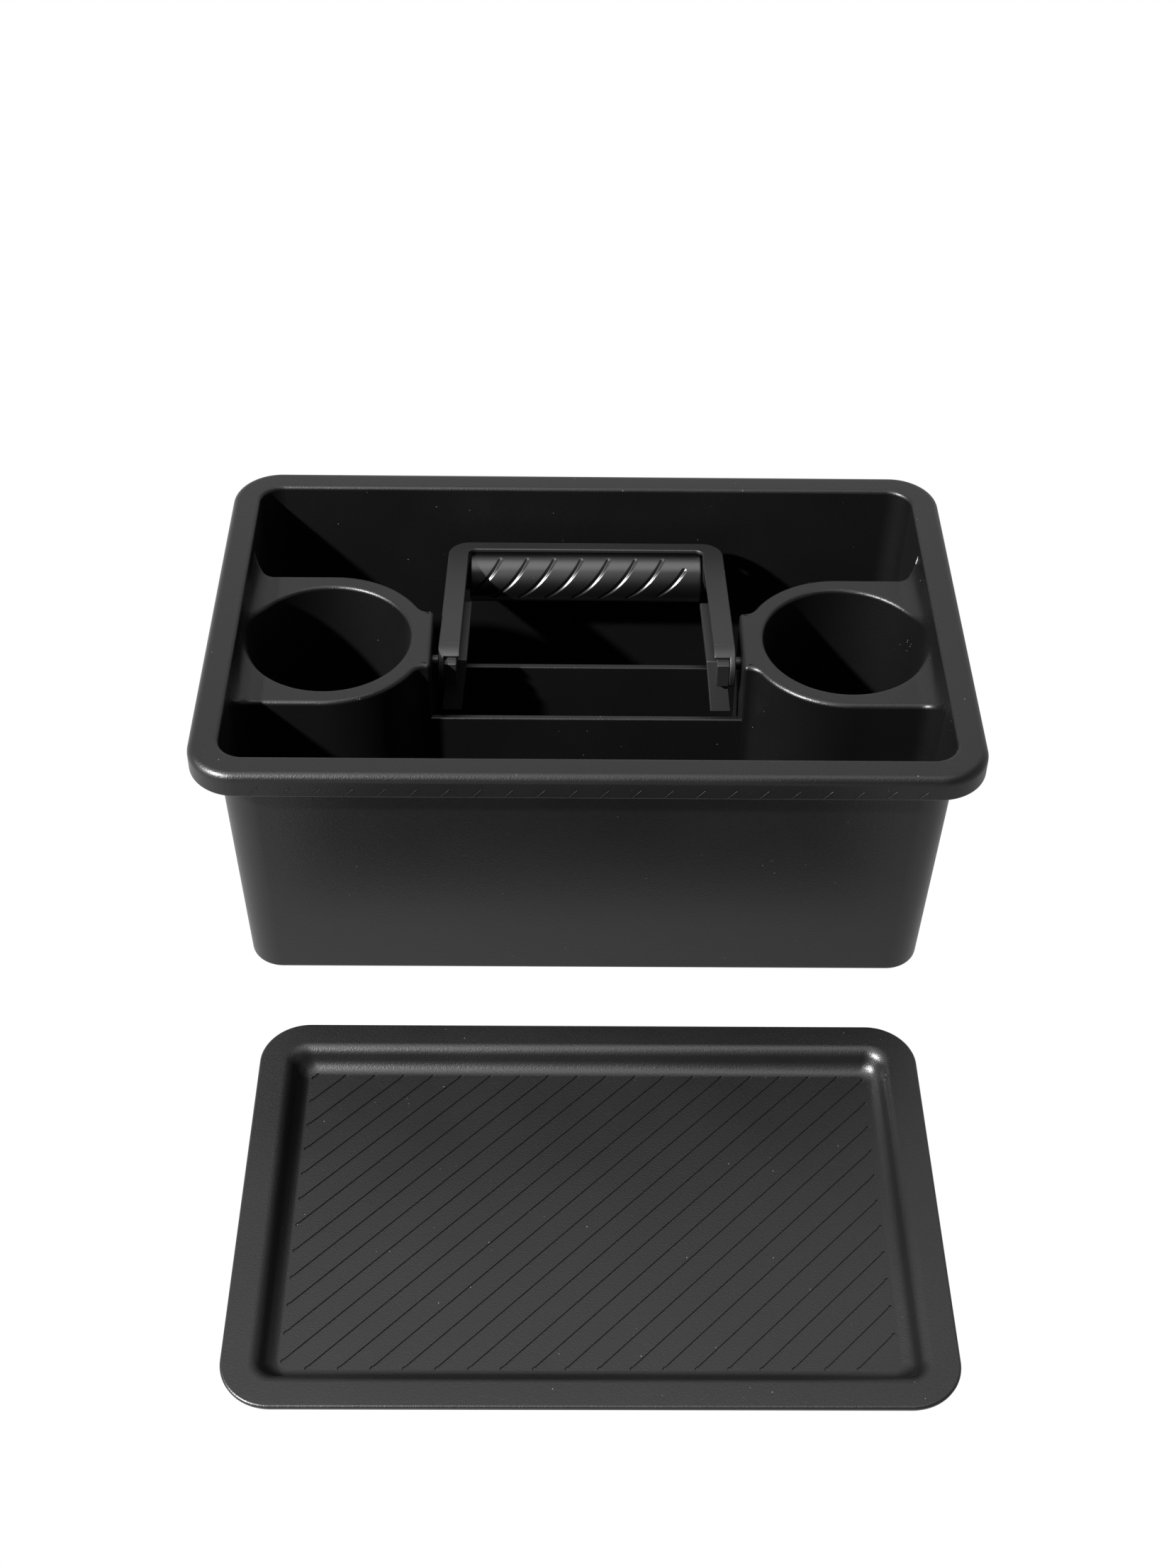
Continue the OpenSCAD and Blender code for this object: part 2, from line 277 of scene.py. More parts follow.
@dataclass(frozen=True)
class RoundedRect:
    """A ring with round corners, seen from above, at one height."""

    half_x: float
    half_y: float
    radius: float
    z: float
    count: int = 80

    def place(self, index: int) -> Vector:
        """The place of one point of the ring.

        Args:
            index: Number of the point.

        Returns:
            Its place.
        """
        corner, step = divmod(index, self.count // 4)
        angle = math.radians(90.0 * (corner + step / (self.count // 4 - 1)))
        sign_x, sign_y = (1, -1, -1, 1)[corner], (1, 1, -1, -1)[corner]
        x = sign_x * (self.half_x - self.radius) + self.radius * math.cos(angle)
        y = sign_y * (self.half_y - self.radius) + self.radius * math.sin(angle)
        return Vector((x, y, self.z))


def lofted(rings: Sequence[RoundedRect]) -> bmesh.types.BMesh:
    """A closed solid whose skin passes through rounded rectangles.

    Args:
        rings: The rings, from the underside round to the inside floor.

    Returns:
        The solid.
    """
    loft = RingLoft(rings[0].count, rings[0].place)
    loft.close()
    for ring in rings[1:]:
        loft.add(ring.place)
    loft.close()
    return loft.bm


def extruded(corners: Sequence[Point], depth: float, rounds: dict[int, float], edge: float) -> bmesh.types.BMesh:
    """A plate with an outline of a few corners, some of them rounded, and eased edges.

    Args:
        corners: The outline's corners in order.
        depth: Thickness of the plate.
        rounds: Corner number to the radius of that corner.
        edge: Radius of the eased edges.

    Returns:
        The plate, lying on the XY plane.
    """
    bm = bmesh.new()
    verts = [bm.verts.new((u, v, 0.0)) for u, v in corners]
    bm.faces.new(verts)
    for index, radius in rounds.items():
        bmesh.ops.bevel(bm, geom=[verts[index]], offset=radius, offset_type="OFFSET", segments=CORNER_STEPS,
                        profile=0.5, affect="VERTICES", clamp_overlap=True, material=-1)
    made = bmesh.ops.extrude_face_region(bm, geom=list(bm.faces))["geom"]
    moved = [item for item in made if isinstance(item, bmesh.types.BMVert)]
    bmesh.ops.translate(bm, vec=(0, 0, depth), verts=moved)
    bmesh.ops.recalc_face_normals(bm, faces=bm.faces)
    ease(bm, edge)
    return bm


def ease(bm: bmesh.types.BMesh, radius: float, limit: float = 50.0, segments: int = 3) -> None:
    """Rounds every edge that is sharper than the limit.

    Args:
        bm: The mesh to change.
        radius: Radius of the rounding.
        limit: Smallest angle between two faces that counts as sharp, in degrees.
        segments: Number of faces across the rounding.
    """
    sharp = [e for e in bm.edges if e.is_manifold and e.calc_face_angle(0.0) > math.radians(limit)]
    bmesh.ops.bevel(bm, geom=sharp, offset=radius, offset_type="OFFSET", segments=segments, profile=0.5,
                    affect="EDGES", clamp_overlap=True, material=-1)


def turned(profile: Sequence[Point], centre: Vector, steps: int = 48) -> bmesh.types.BMesh:
    """A solid turned about an axis along X.

    Args:
        profile: Points of (x, radius), from one end of the axis to the other.
        centre: A point of the axis.
        steps: Number of steps round the axis.

    Returns:
        The solid.
    """
    bm = bmesh.new()
    verts = [bm.verts.new((x, 0.0, r)) for x, r in profile]
    edges = [bm.edges.new(pair) for pair in zip(verts, verts[1:])]
    bmesh.ops.spin(bm, geom=verts + edges, cent=(0, 0, 0), axis=(1, 0, 0), dvec=(0, 0, 0), angle=math.tau,
                   steps=steps, use_merge=True, use_duplicate=False)
    bmesh.ops.remove_doubles(bm, verts=bm.verts, dist=1e-6)
    bmesh.ops.translate(bm, vec=centre, verts=bm.verts)
    return bm


def bar_profile(first: float, last: float, radius: float, chamfer: float) -> list[Point]:
    """The profile of a round bar along X with chamfered ends.

    Args:
        first: Place of one end.
        last: Place of the other end.
        radius: Radius of the bar.
        chamfer: Size of the chamfers.

    Returns:
        Points of (x, radius), as turned() takes them.
    """
    return [(first, 0), (first, radius - chamfer), (first + chamfer, radius),
            (last - chamfer, radius), (last, radius - chamfer), (last, 0)]


def join(parts: Sequence[bmesh.types.BMesh]) -> bmesh.types.BMesh:
    """Puts several meshes into the first one.

    Args:
        parts: The meshes; all but the first are freed.

    Returns:
        The first mesh, with the others added.
    """
    for part in parts[1:]:
        scratch = bpy.data.meshes.new("scratch")
        part.to_mesh(scratch)
        part.free()
        parts[0].from_mesh(scratch)
        bpy.data.meshes.remove(scratch)
    return parts[0]


def mirrored(bm: bmesh.types.BMesh, side: Side) -> bmesh.types.BMesh:
    """Turns a piece drawn for the left end into the one for the given end.

    Args:
        bm: The piece as drawn for the left end.
        side: The end it is wanted at.

    Returns:
        The same mesh, mirrored where the right end is asked for.
    """
    if side is Side.RIGHT:
        bmesh.ops.transform(bm, matrix=MIRROR_X, verts=bm.verts)
        bmesh.ops.reverse_faces(bm, faces=bm.faces)
    return bm


def carved(body: bmesh.types.BMesh, cutter: bmesh.types.BMesh) -> bmesh.types.BMesh:
    """Takes one solid away from another.

    Args:
        body: The solid to cut; it is freed.
        cutter: The solid to take away; it is freed.

    Returns:
        What is left.
    """
    objects = []
    for label, bm in (("carved_body", body), ("carving_tool", cutter)):
        bmesh.ops.recalc_face_normals(bm, faces=bm.faces)
        mesh = bpy.data.meshes.new(label)
        bm.to_mesh(mesh)
        bm.free()
        obj = bpy.data.objects.new(label, mesh)
        bpy.context.scene.collection.objects.link(obj)
        objects.append(obj)
    cut = objects[0].modifiers.new("Cut", "BOOLEAN")
    cut.operation = "DIFFERENCE"
    cut.solver = "EXACT"
    cut.object = objects[1]
    bpy.context.view_layer.update()
    result = bmesh.new()
    result.from_object(objects[0], bpy.context.evaluated_depsgraph_get())
    for obj in objects:
        mesh = obj.data
        bpy.data.objects.remove(obj)
        bpy.data.meshes.remove(mesh)
    return result


@dataclass(frozen=True)
class Mount:
    """What a finished piece rides on, stands for and takes its finish from."""

    body: Body
    nodes: tuple[str, ...]
    slot: str
    finish: MouldedPlastic


class Bench:
    """Turns meshes into finished pieces and keeps one material for each finish."""

    def __init__(self) -> None:
        """Starts with no materials."""
        self.materials: dict[str, bpy.types.Material] = {}

    def paint(self, finish: MouldedPlastic) -> bpy.types.Material:
        """The material of a finish, made once.

        Args:
            finish: The finish.

        Returns:
            Its material.
        """
        if finish.name not in self.materials:
            self.materials[finish.name] = finish.make()
        return self.materials[finish.name]

    def finish(self, name: str, bm: bmesh.types.BMesh, mount: Mount, sharp: float = 38.0) -> bpy.types.Object:
        """Makes a mesh a finished piece of the object.

        Args:
            name: Name of the piece.
            bm: Its mesh; it is freed.
            mount: What the piece rides on, stands for and is made of.
            sharp: Angle between faces above which an edge stays crisp, in degrees.

        Returns:
            The new object.
        """
        bmesh.ops.remove_doubles(bm, verts=bm.verts, dist=1e-7)
        bmesh.ops.recalc_face_normals(bm, faces=bm.faces)
        for face in bm.faces:
            face.smooth = True
        for edge in bm.edges:
            edge.smooth = not (edge.is_manifold and edge.calc_face_angle(0.0) > math.radians(sharp))
        mesh = bpy.data.meshes.new(name)
        bm.to_mesh(mesh)
        bm.free()
        mesh.materials.append(self.paint(mount.finish))
        piece = bpy.data.objects.new(name, mesh)
        bpy.context.scene.collection.objects.link(piece)
        weigh = piece.modifiers.new("Flat faces", "WEIGHTED_NORMAL")
        weigh.keep_sharp = True
        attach(piece, mount.body.value)
        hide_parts(*mount.nodes)
        LOG.info("%s: %d faces", name, len(mesh.polygons))
        return piece


# ---------------------------------------------------------------- tub


@dataclass(frozen=True)
class OutlinePoint:
    """A point of a tower's outline from the cup's centre.

    Attributes:
        x: Its place along X, unless it has a heel.
        y: Its place along Y.
        push_x: X of the direction that the deck's round edge draws in from.
        push_y: Y of that direction.
        heel: How far along the way from the cup's centre to the middle of the end wall it lies.
    """

    x: float
    y: float
    push_x: float
    push_y: float
    heel: float = 0.0


@dataclass
class Tub:
    """The moulded tub: shell with rim and skirt, two cup towers and the pocket's two walls."""

    # shell, with its rim, skirt, walls and plinth
    length: float = 400 * MM
    depth: float = 260 * MM
    height: float = 158 * MM
    rim_radius: float = 26 * MM
    skirt_height: float = 14 * MM
    rim_plate: float = 2.6 * MM
    wall_inset: float = 13 * MM
    wall_lean: float = 5.4 * MM
    wall: float = 2.5 * MM
    body_radius: float = 19 * MM
    inner_radius: float = 13.2 * MM
    floor_plate: float = 2.5 * MM
    plinth_height: float = 1 * MM
    plinth_inset: float = 3 * MM
    plinth_radius: float = 15 * MM
    foot_narrowing: float = 1 * MM
    rim_round: float = 4.5 * MM
    mouth_round: float = 2.2 * MM
    foot_round: float = 2.5 * MM
    floor_fillet: float = 3 * MM
    # cup towers
    deck_drop: float = 17 * MM
    deck_round: float = 2.4 * MM
    deck_cove: float = 10.5 * MM
    cup_offset: float = 139 * MM
    cup_radius: float = 43.8 * MM
    cup_foot: float = 39.3 * MM
    cup_lip: float = 2.1 * MM
    cup_fillet: float = 2 * MM
    cup_plate: float = 0.2 * MM
    tower_root: float = 0.1 * MM
    ring_width: float = 10.5 * MM
    tab_face: float = 83.4 * MM
    tab_half: float = 23.6 * MM
    tab_blend: float = 8 * MM
    tab_corner: float = 1.8 * MM
    # walls of the pocket
    pocket_half: float = 20 * MM
    pocket_wall: float = 3.5 * MM
    pocket_drop: float = 37 * MM
    pocket_root: float = 1 * MM
    pocket_lap: float = 1.5 * MM
    front_crown: float = 0.9 * MM
    back_crown: float = 0.6 * MM
    pocket_ease: float = 0.1 * MM
    # slanted ribs on the skirt
    rib_first: float = -167.9 * MM
    rib_pitch: float = 15.75 * MM
    rib_count: int = 22
    rib_length: float = 7.2 * MM
    rib_width: float = 0.45 * MM
    rib_proud: float = 0.35 * MM
    rib_root: float = 0.2 * MM
    rib_lift: float = 0.8 * MM
    rib_ease: float = 0.12 * MM
    rib_slant: float = 48.0
    finish: MouldedPlastic = field(default_factory=lambda: TUB_MATT)

    def mount(self) -> Mount:
        """What every piece of the tub rides on and stands for."""
        return Mount(Body.CADDY, ("tub",), "tub_plastic", self.finish)

    @property
    def deck_z(self) -> float:
        """Height of the decks round the cups."""
        return self.height - self.deck_drop

    @property
    def cup_ring(self) -> float:
        """Radius of a tower round its cup."""
        return self.cup_radius + self.ring_width

    @property
    def floor_top(self) -> float:
        """Height of the floor inside the tub."""
        return self.plinth_height + self.floor_plate

    def inset_at(self, z: float) -> float:
        """Distance from the rim's edge in to the outer wall at a height."""
        climb = (z - self.plinth_height) / (self.height - self.plinth_height)
        return self.wall_inset + self.wall_lean * (1 - climb)

    def heel_at(self, z: float) -> float:
        """Distance from the cup's centre to the middle of the end wall at a height."""
        return self.length / 2 - self.cup_offset - self.inset_at(z) - self.wall / 2

    def cove(self, gap: float) -> float:
        """How far the cove between a tower and the end wall stands out at a distance from the wall."""
        short = min(max(self.deck_cove - gap, 0.0), self.deck_cove)
        return self.deck_cove - math.sqrt(self.deck_cove ** 2 - short ** 2)

    def ring(self, inset: float, z: float, radius: float) -> RoundedRect:
        """A rounded rectangle at a distance in from the rim's edge."""
        return RoundedRect(self.length / 2 - inset, self.depth / 2 - inset, radius, z)

    def shell_rings(self) -> list[RoundedRect]:
        """The rings of the shell, from the plinth up the outside, over the rim and down to the floor.

        Returns:
            The rings in order.
        """
        base = self.inset_at(self.plinth_height)
        under = self.height - self.rim_plate
        inner_top = self.inset_at(self.height) + self.wall
        inner_low = self.inset_at(self.floor_top) + self.wall
        foot = arc((base + self.foot_round, self.plinth_height + self.foot_round), self.foot_round, 270, 180, 6)
        hem = arc((self.rim_plate / 2, self.height - self.skirt_height + self.rim_plate / 2), self.rim_plate / 2,
                  0, -180, 8)
        crown = arc((self.rim_round, self.height - self.rim_round), self.rim_round, 180, 90, 8)
        lip = arc((inner_top - self.mouth_round, self.height - self.mouth_round), self.mouth_round, 90, 0, 6)
        cove = arc((inner_low + self.floor_fillet, self.floor_top + self.floor_fillet), self.floor_fillet, 180, 270, 5)
        plinth_in = base + self.plinth_inset
        body_low = self.body_radius - self.foot_narrowing
        inner_corner = self.inner_radius - self.foot_narrowing
        rings = [self.ring(plinth_in, z, self.plinth_radius) for z in (0.0, self.plinth_height)]
        rings += [self.ring(s, z, body_low - (s - base)) for s, z in foot]
        rings.append(self.ring(self.inset_at(under), under, self.body_radius))
        rings.append(self.ring(self.rim_plate, under, self.rim_radius - self.rim_plate))
        rings += [self.ring(s, z, self.rim_radius - s) for s, z in hem + crown]
        rings += [self.ring(s, z, self.inner_radius + inner_top - s) for s, z in lip]
        rings += [self.ring(s, z, inner_corner - (s - inner_low)) for s, z in cove]
        return rings

    def outline(self) -> list[OutlinePoint]:
        """The left tower's outline about its cup, counter-clockwise from the flat tab.

        Returns:
            The points in order.
        """
        ring = self.cup_ring
        tab_x = self.cup_offset - self.tab_face
        corner = self.tab_corner
        blend_x = math.sqrt((ring + self.tab_blend) ** 2 - (self.tab_half + self.tab_blend) ** 2)
        reach = math.degrees(math.atan2(self.tab_half + self.tab_blend, blend_x))
        half: list[OutlinePoint] = []
        for step in range(7):
            half.append(OutlinePoint(tab_x, (self.tab_half - corner) * step / 6, 1, 0))
        for x, y in arc((0, 0), 1, 0, 90, 5)[1:]:
            half.append(OutlinePoint(tab_x - corner + corner * x, self.tab_half - corner + corner * y, x, y))
        for x, y in arc((0, 0), 1, 270, 180 + reach, 8)[1:]:
            half.append(OutlinePoint(blend_x + self.tab_blend * x, self.tab_half + self.tab_blend + self.tab_blend * y,
                                     -x, -y))
        for x, y in arc((0, 0), 1, reach, 90, 20)[1:]:
            half.append(OutlinePoint(ring * x, ring * y, x, y))
        for step in range(1, 33):
            half.append(OutlinePoint(0, ring, 0, 1, 1 - (1 - step / 32) ** 2))
        for step in range(1, 13):
            half.append(OutlinePoint(0, ring * (1 - step / 12), 0, 1 - step / 12, 1))
        other = [OutlinePoint(p.x, -p.y, p.push_x, -p.push_y, p.heel) for p in half[1:-1]]
        return half + other[::-1]

    def tower(self, side: Side) -> bmesh.types.BMesh:
        """One cup tower with its deck, cup and flat tab.

        Args:
            side: The end that the tower stands at.

        Returns:
            The tower as a closed solid.
        """
        points = self.outline()
        mouth = self.cup_radius + self.cup_lip

        def shell(inset: float, z: float) -> Place:
            """The outline at a height.

            Args:
                inset: How far it is drawn in.
                z: Its height.

            Returns:
                The place of each of its points.
            """
            heel = self.heel_at(z)

            def place(index: int) -> Vector:
                """The place of one point of it."""
                p = points[index]
                x = -heel * p.heel if p.heel else p.x - inset * p.push_x
                flare = 1 + self.cove(heel * (1 - p.heel) - self.wall / 2) / self.cup_ring if p.heel else 1
                return Vector((x - self.cup_offset, p.y * flare - inset * p.push_y, z))
            return place

        def circle(radius: float, z: float) -> Place:
            """A circle round the cup's axis.

            Args:
                radius: Its radius.
                z: Its height.

            Returns:
                The place of each of its points.
            """
            heel = self.heel_at(self.deck_z)

            def place(index: int) -> Vector:
                """The place of one point of it."""
                p = points[index]
                angle = math.atan2(p.y, -heel * p.heel if p.heel else p.x)
                return Vector((radius * math.cos(angle) - self.cup_offset, radius * math.sin(angle), z))
            return place

        def deck(share: float) -> Place:
            """A ring of the deck, at a share of the way in from its edge to the cup's mouth."""
            edge, lip = shell(self.deck_round, self.deck_z), circle(mouth, self.deck_z)
            return lambda index: edge(index).lerp(lip(index), share)

        loft = RingLoft(len(points), shell(0.0, self.floor_top - self.tower_root))
        loft.close()
        for inset, z in arc((self.deck_round, self.deck_z - self.deck_round), self.deck_round, 180, 90, 5):
            loft.add(shell(inset, z))
        for step in range(1, 8):
            loft.add(deck(step / 8))
        for radius, z in arc((mouth, self.deck_z - self.cup_lip), self.cup_lip, 90, 180, 6):
            loft.add(circle(radius, z))
        fillet, cup_floor = self.cup_fillet, self.floor_top + self.cup_plate
        for radius, z in arc((self.cup_foot - fillet, cup_floor + fillet), fillet, 0, -90, 5):
            loft.add(circle(radius, z))
        loft.close()
        self.raise_deck(loft.bm)
        return mirrored(loft.bm, side)

    def raise_deck(self, tower: bmesh.types.BMesh) -> None:
        """Curves the left tower's deck and cup mouth up to the end wall.

        Args:
            tower: The left tower; its points are moved.
        """
        wall_face = self.inset_at(self.deck_z + self.deck_cove) + self.wall - self.length / 2
        for vert in tower.verts:
            if vert.co.z > self.deck_z - self.deck_round - self.tower_root:
                vert.co.z += self.cove(vert.co.x - wall_face)

    def pocket_bar(self, front: bool) -> bmesh.types.BMesh:
        """One of the two walls between the towers.

        Args:
            front: True for the front wall, whose top edge is fully rounded.

        Returns:
            The wall.
        """
        top = self.deck_z - self.pocket_drop
        low = self.plinth_height + self.pocket_root
        near, far = self.pocket_half, self.pocket_half + self.pocket_wall
        if front:
            near, far = -far, -near
        span = 2 * (self.tab_face + self.pocket_lap)
        crown = self.front_crown if front else self.back_crown
        bar = extruded([(near, low), (far, low), (far, top), (near, top)], span, {2: crown, 3: crown},
                       self.pocket_ease)
        bmesh.ops.transform(bar, matrix=Matrix.Translation((-span / 2, 0, 0)) @ YZ_TO_WORLD, verts=bar.verts)
        return bar

    def skirt_ribs(self) -> bmesh.types.BMesh:
        """The fine slanted ribs along the lower edge of the skirt, on both long sides.

        Returns:
            All the ribs in one mesh.
        """
        half = self.rib_width / 2
        outline = [(0, -half), (self.rib_length, -half), (self.rib_length, half), (0, half)]
        foot = self.height - self.skirt_height + self.rib_lift
        upright = Matrix.Rotation(math.pi / 2, 4, "X")
        slant = Matrix.Rotation(math.radians(self.rib_slant), 4, "Z")
        ribs = []
        for turn in (0.0, math.pi):
            for index in range(self.rib_count):
                rib = extruded(outline, self.rib_proud + self.rib_root, {}, self.rib_ease)
                spot = Vector((self.rib_first + self.rib_pitch * index, self.rib_root - self.depth / 2, foot))
                place = Matrix.Rotation(turn, 4, "Z") @ Matrix.Translation(spot) @ upright @ slant
                bmesh.ops.transform(rib, matrix=place, verts=rib.verts)
                ribs.append(rib)
        return join(ribs)

    def build(self, bench: Bench) -> None:
        """Makes every piece of the tub.

        Args:
            bench: Where the pieces are finished.
        """
        bench.finish("tub_shell", lofted(self.shell_rings()), self.mount())
        bench.finish("skirt_ribs", self.skirt_ribs(), self.mount())
        for side in Side:
            bench.finish(f"{side.name.lower()}_cup_tower", self.tower(side), self.mount())
        bench.finish("pocket_front_wall", self.pocket_bar(True), self.mount())
        bench.finish("pocket_back_wall", self.pocket_bar(False), self.mount())


# ---------------------------------------------------------------- handle


@dataclass
class Handle:
    """The folding handle, drawn level about its pivots and then tilted to its rest, with its pivot pins."""

    pivot_z: float = 124.7 * MM
    rest_tilt: float = 3.8
    # top plate: two legs and the crossbar
    leg_face: float = 80.0 * MM
    reach: float = 100.9 * MM
    leg_lean: float = 1.9 * MM
    leg_width: float = 11.6 * MM
    crossbar: float = 7.4 * MM
    corner: float = 12 * MM
    inner_corner: float = 4 * MM
    rise: float = 12 * MM
    plate: float = 2.3 * MM
    plate_ease: float = 0.7 * MM
    curl: float = 42.0
    curl_lap: float = 3.5
    curl_ease: float = 0.6 * MM
    # side walls of the legs
    side_wall: float = 3.2 * MM
    side_depth: float = 13 * MM
    side_step: float = 0.06 * MM
    side_ease: float = 0.65 * MM
    # hubs round the pivots
    hub_radius: float = 11.6 * MM
    hub_width: float = 6.8 * MM
    hub_gap: float = 0.05 * MM
    hub_face: float = -10.7 * MM
    hub_brow: float = 5.6 * MM
    hub_chin: float = 8 * MM
    hub_open: float = 234.0
    hub_nose: Point = (4.0, 3.0)
    hub_lap: float = 1 * MM
    hub_ease: float = 0.7 * MM
    # flat arms with their tongues
    arm_reach: float = 54 * MM
    arm_width: float = 10.4 * MM
    arm_thickness: float = 3.2 * MM
    arm_level: float = 2.8 * MM
    arm_proud: float = 3.5 * MM
    arm_ease: float = 0.6 * MM
    tongue_length: float = 26.5 * MM
    tongue_angle: float = 72.0
    tongue_splay: float = 0.11
    tongue_spread: float = 0.8 * MM
    tongue_spread_in: float = 10 * MM
    # pivot pins
    pin_radius: float = 3.6 * MM
    pin_reach: float = 5.5 * MM
    pin_end: float = 91.4 * MM
    pin_chamfer: float = 0.5 * MM
    # grip and its rod
    grip_radius: float = 14.4 * MM
    grip_length: float = 132.6 * MM
    grip_inset: float = 8.2 * MM
    grip_gap: float = 1.1 * MM
    grip_ease: float = 1.2 * MM
    end_gap: float = 0.4 * MM
    rod_radius: float = 5 * MM
    rod_chamfer: float = 0.6 * MM
    rod_seat: float = 5 * MM
    # grooves of the grip; the swing is the shift along it for each degree and each degree squared
    groove_pitch: float = 15.41 * MM
    groove_start: float = -48.85 * MM
    groove_count: int = 8
    groove_half: float = 1.25 * MM
    groove_depth: float = 0.75 * MM
    groove_top: float = 70.0
    groove_fall: Point = (0.0, 97.0)
    last_groove_fall: Point = (25.0, 89.0)
    groove_swing: Point = (0.0889 * MM, 0.001178 * MM)
    # bosses and webs that hold the rod
    boss_radius: float = 8 * MM
    boss_chamfer: float = 0.6 * MM
    boss_set_in: float = 0.4 * MM
    web_front: float = 12 * MM
    web_back: float = 3 * MM
    web_top: float = 0.9 * MM
    web_set_in: float = 0.1 * MM
    web_ease: float = 0.5 * MM
    satin: MouldedPlastic = field(default_factory=lambda: HANDLE_SATIN)
    gloss: MouldedPlastic = field(default_factory=lambda: GRIP_GLOSS)
    smooth: MouldedPlastic = field(default_factory=lambda: PIN_SMOOTH)

    @property
    def lean(self) -> float:
        """Sideways lean of a leg per metre of reach."""
        return self.leg_lean / self.reach

    @property
    def plate_low(self) -> float:
        """Height of the top plate's lower face above the pivot."""
        return self.rise - self.plate

    @property
    def arm_inner(self) -> float:
        """Distance of the arm's inner face from the middle, at the pivot."""
        return self.leg_face - self.leg_width - self.arm_proud

    @property
    def hub_outer(self) -> float:
        """Distance of the hub's outer face from the middle."""
        return self.leg_face - self.side_wall - self.hub_gap

    @property
    def grip_axis(self) -> Vector:
        """Middle of the grip about the pivot, with the handle level."""
        return Vector((0, self.reach - self.grip_inset, self.plate_low - self.grip_gap - self.grip_radius))

    def rested(self, bm: bmesh.types.BMesh) -> bmesh.types.BMesh:
        """Tilts a piece drawn level about the pivot and lifts it to its place.

        Args:
            bm: The piece as drawn.

        Returns:
            The same mesh, moved.
        """
        turn = Matrix.Rotation(-math.radians(self.rest_tilt), 4, "X")
        bmesh.ops.transform(bm, matrix=Matrix.Translation((0, 0, self.pivot_z)) @ turn, verts=bm.verts)
        return bm

    def beside(self, x: float) -> Matrix:
        """Places a piece drawn in the YZ plane at a distance left of the middle, leaning as the leg does."""
        return Matrix.Translation((-x, 0, 0)) @ Matrix.Rotation(-math.atan(self.lean), 4, "Z") @ YZ_TO_WORLD

    def placed(self, bm: bmesh.types.BMesh, x: float) -> bmesh.types.BMesh:
        """Moves a piece drawn in the YZ plane to its distance left of the middle."""
        bmesh.ops.transform(bm, matrix=self.beside(x), verts=bm.verts)
        return bm

    def strip(self) -> bmesh.types.BMesh:
        """The top plate of both legs and the crossbar.

        Returns:
            The plate.
        """
        def outer(y: float) -> float:
            """Distance of a leg's outer edge from the middle."""
            return self.leg_face - self.lean * y

        def inner(y: float) -> float:
            """Distance of a leg's inner edge from the middle."""
            return self.leg_face - self.leg_width - self.lean * y

        end = self.reach - self.crossbar
        corners = [(outer(0), 0), (outer(self.reach), self.reach), (-outer(self.reach), self.reach),
                   (-outer(0), 0), (-inner(0), 0), (-inner(end), end), (inner(end), end), (inner(0), 0)]
        rounds = {1: self.corner, 2: self.corner, 5: self.inner_corner, 6: self.inner_corner}
        bm = extruded(corners, self.plate, rounds, self.plate_ease)
        bmesh.ops.translate(bm, vec=(0, 0, self.plate_low), verts=bm.verts)
        return bm

    def leg_curl(self) -> bmesh.types.BMesh:
        """The top plate's front end, curled down over the leg's round end.

        Returns:
            The curl of the left leg.
        """
        first, last = 90.0 - self.curl_lap, 90.0 + self.curl
        outside = arc((0, 0), self.rise, first, last, 10)
        inside = arc((0, 0), self.plate_low, last, first, 10)
        return self.placed(extruded(outside + inside, self.leg_width, {}, self.curl_ease), self.leg_face)

    def leg_side(self) -> bmesh.types.BMesh:
        """The left leg's outer side wall with its round end.

        Returns:
            The wall.
        """
        radius = (self.side_depth + self.rise) / 2
        back, middle = self.reach - self.corner, self.rise - radius
        outline = [(back, -self.side_depth), (back, self.rise - self.side_step)]
        outline += arc((0, middle), radius - self.side_step, 90, 270, 24)
        return self.placed(extruded(outline, self.side_wall, {}, self.side_ease), self.leg_face - self.side_step)

    def arm(self) -> bmesh.types.BMesh:
        """The left leg's flat bar with its tongue past the pivot, and the hub around the pivot.

        Returns:
            The arm.
        """
        slope = math.radians(self.tongue_angle)
        low = self.arm_level - self.arm_thickness
        along = Vector((-math.cos(slope), -math.sin(slope)))
        up = Vector((-math.sin(slope), math.cos(slope)))
        tip = Vector((0, low)) + self.tongue_length * along
        upper = tip + self.arm_thickness * up
        knee = (-self.arm_thickness * math.tan(slope / 2), self.arm_level)
        outline = [(self.arm_reach, low), (self.arm_reach, self.arm_level), knee, tuple(upper), tuple(tip), (0, low)]
        bar = extruded(outline, self.arm_width, {}, self.arm_ease)
        for vert in bar.verts:
            depth = max(low - vert.co.y, 0.0)
            spread = self.tongue_spread * min(depth / self.tongue_spread_in, 1.0)
            vert.co.z -= self.tongue_splay * depth + (spread if vert.co.z < self.arm_width / 2 else 0.0)
        self.placed(bar, self.arm_inner + self.arm_width)
        high = self.plate_low - self.hub_gap
        back, bottom = self.arm_reach - self.hub_lap, low + self.hub_lap
        profile = [(self.hub_face, self.hub_brow), (self.hub_face, -self.hub_chin)]
        profile += arc((0, 0), self.hub_radius, self.hub_open, 360, 24)
        profile += [(self.hub_radius, bottom), (back, bottom), (back, high), (0, high)]
        profile += arc((0, 0), high, 90 + self.hub_nose[0], 90 + self.curl + self.hub_nose[1], 8)
        hub = extruded(profile, self.hub_width, {}, self.hub_ease)
        self.placed(hub, self.hub_outer)
        return join([bar, hub])

